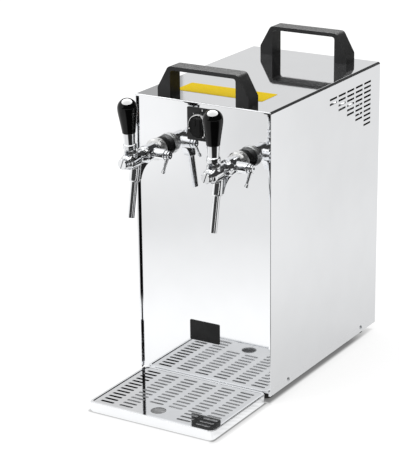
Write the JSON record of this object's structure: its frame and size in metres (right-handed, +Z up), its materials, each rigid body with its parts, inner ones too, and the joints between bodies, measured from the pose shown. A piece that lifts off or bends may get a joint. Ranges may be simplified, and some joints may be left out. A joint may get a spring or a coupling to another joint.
{
  "type": "beer tap cooler",
  "caption": "Portable stainless beer cooler box with carry handles, lever taps with compensators on the front, a thermostat knob, side vents and a drip tray with a slotted grid.",
  "frame": {"origin": "on the ground, at the middle of the whole footprint from the drip tray to the rear fittings", "axes": "+Z up, front with the taps towards -Y, +X to the right seen from the front"},
  "size_m": [0.2198, 0.501, 0.467],
  "materials": {
    "polished_steel": "polished stainless sheet",
    "steel_sheet": "satin stainless sheet",
    "chrome": "bright chrome plating",
    "tray_steel": "polished stainless tray and grid",
    "black_plastic": "fine-grained black moulding",
    "gloss_black": "gloss black moulding",
    "black_plate": "black lacquered plate",
    "rubber": "moulded rubber",
    "yellow_label": "yellow foil label",
    "zinc_steel": "zinc plated",
    "brass": "turned brass",
    "white_plastic": "moulded plastic",
    "aluminium": "cast aluminium",
    "foam": "rigid foam",
    "copper": "drawn copper tube",
    "black_enamel": "black enamel"
  },
  "bodies": {
    "casing": {"cover": "polished_steel", "front_panel": "polished_steel", "rear_panel": "steel_sheet", "base_pan": "steel_sheet", "rubber_feet": "rubber", "foot_screws": "zinc_steel", "front_handle": "black_plastic", "rear_handle": "black_plastic", "handle_screws": "zinc_steel", "side_screws": "zinc_steel", "top_label": "yellow_label", "name_plate": "black_plate", "thermostat_plate": "black_plate", "thermostat_body": "white_plastic", "left_shank": "chrome", "right_shank": "chrome", "shank_lock_nuts": "brass", "left_spacer": "black_plastic", "right_spacer": "black_plastic", "left_ring_nut": "chrome", "right_ring_nut": "chrome", "left_tap_body": "chrome", "right_tap_body": "chrome", "left_front_plug": "chrome", "right_front_plug": "chrome", "left_spout": "chrome", "right_spout": "chrome", "left_lever_cap": "chrome", "right_lever_cap": "chrome", "compressor": "black_enamel", "compressor_grommets": "rubber", "condenser": "aluminium", "fan_shroud": "black_enamel", "fan_motor": "zinc_steel", "cold_block": "aluminium", "insulation_shell": "foam", "insulation_lid": "foam", "left_beer_line": "zinc_steel", "right_beer_line": "zinc_steel", "refrigerant_lines": "copper", "control_box": "black_plastic", "beer_inlets": "chrome", "mains_gland": "black_plastic"},
    "left_lever_body": {"left_lever": "chrome", "left_grip": "gloss_black"},
    "left_valve_body": {"left_valve_stem": "brass", "left_valve_seal": "rubber"},
    "left_comp_lever_body": {"left_comp_lever": "chrome"},
    "left_comp_cone_body": {"left_comp_cone": "white_plastic"},
    "right_lever_body": {"right_lever": "chrome", "right_grip": "gloss_black"},
    "right_valve_body": {"right_valve_stem": "brass", "right_valve_seal": "rubber"},
    "right_comp_lever_body": {"right_comp_lever": "chrome"},
    "right_comp_cone_body": {"right_comp_cone": "white_plastic"},
    "knob_body": {"thermostat_knob": "black_plastic", "thermostat_shaft": "brass"},
    "fan_body": {"fan_blade": "aluminium"},
    "tray_body": {"drip_tray": "tray_steel"},
    "grid_body": {"drip_grid": "tray_steel"}
  },
  "joints": [
    {"name": "left_lever_hinge", "type": "hinge", "parent": "casing", "child": "left_lever_body", "pos_m": [-0.0655, -0.182, 0.3615], "axis": [1, 0, 0], "range_deg": [0, 32]},
    {"name": "left_valve_slide", "type": "slide", "parent": "casing", "child": "left_valve_body", "axis": [0, 1, 0], "range_m": [-0.0001, 0.0058]},
    {"name": "left_comp_hinge", "type": "hinge", "parent": "casing", "child": "left_comp_lever_body", "pos_m": [-0.0655, -0.135, 0.3515], "axis": [1, 0, 0], "range_deg": [-45, 45]},
    {"name": "left_comp_slide", "type": "slide", "parent": "casing", "child": "left_comp_cone_body", "axis": [0, 1, 0], "range_m": [-0.0015, 0.0015]},
    {"name": "right_lever_hinge", "type": "hinge", "parent": "casing", "child": "right_lever_body", "pos_m": [0.0655, -0.182, 0.3615], "axis": [1, 0, 0], "range_deg": [0, 32]},
    {"name": "right_valve_slide", "type": "slide", "parent": "casing", "child": "right_valve_body", "axis": [0, 1, 0], "range_m": [-0.0001, 0.0058]},
    {"name": "right_comp_hinge", "type": "hinge", "parent": "casing", "child": "right_comp_lever_body", "pos_m": [0.0655, -0.135, 0.3515], "axis": [1, 0, 0], "range_deg": [-45, 45]},
    {"name": "right_comp_slide", "type": "slide", "parent": "casing", "child": "right_comp_cone_body", "axis": [0, 1, 0], "range_m": [-0.0015, 0.0015]},
    {"name": "thermostat_turn", "type": "hinge", "parent": "casing", "child": "knob_body", "pos_m": [0, -0.1022, 0.3912], "axis": [0, 1, 0], "range_deg": [-135, 135]},
    {"name": "fan_spin", "type": "hinge", "parent": "casing", "child": "fan_body", "pos_m": [0, 0.155, 0.28], "axis": [0, 1, 0], "continuous": true},
    {"name": "tray_slide", "type": "slide", "parent": "casing", "child": "tray_body", "axis": [0, -1, 0], "range_m": [0, 0.2]},
    {"name": "grid_lift", "type": "slide", "parent": "tray_body", "child": "grid_body", "axis": [0, 0, 1], "range_m": [0, 0.06]}
  ],
  "couplings": [
    {"joint": "left_valve_slide", "follows": "left_lever_hinge", "m_per_rad": 0.01},
    {"joint": "left_comp_slide", "follows": "left_comp_hinge", "m_per_rad": -0.0017},
    {"joint": "right_valve_slide", "follows": "right_lever_hinge", "m_per_rad": 0.01},
    {"joint": "right_comp_slide", "follows": "right_comp_hinge", "m_per_rad": -0.0017}
  ]
}
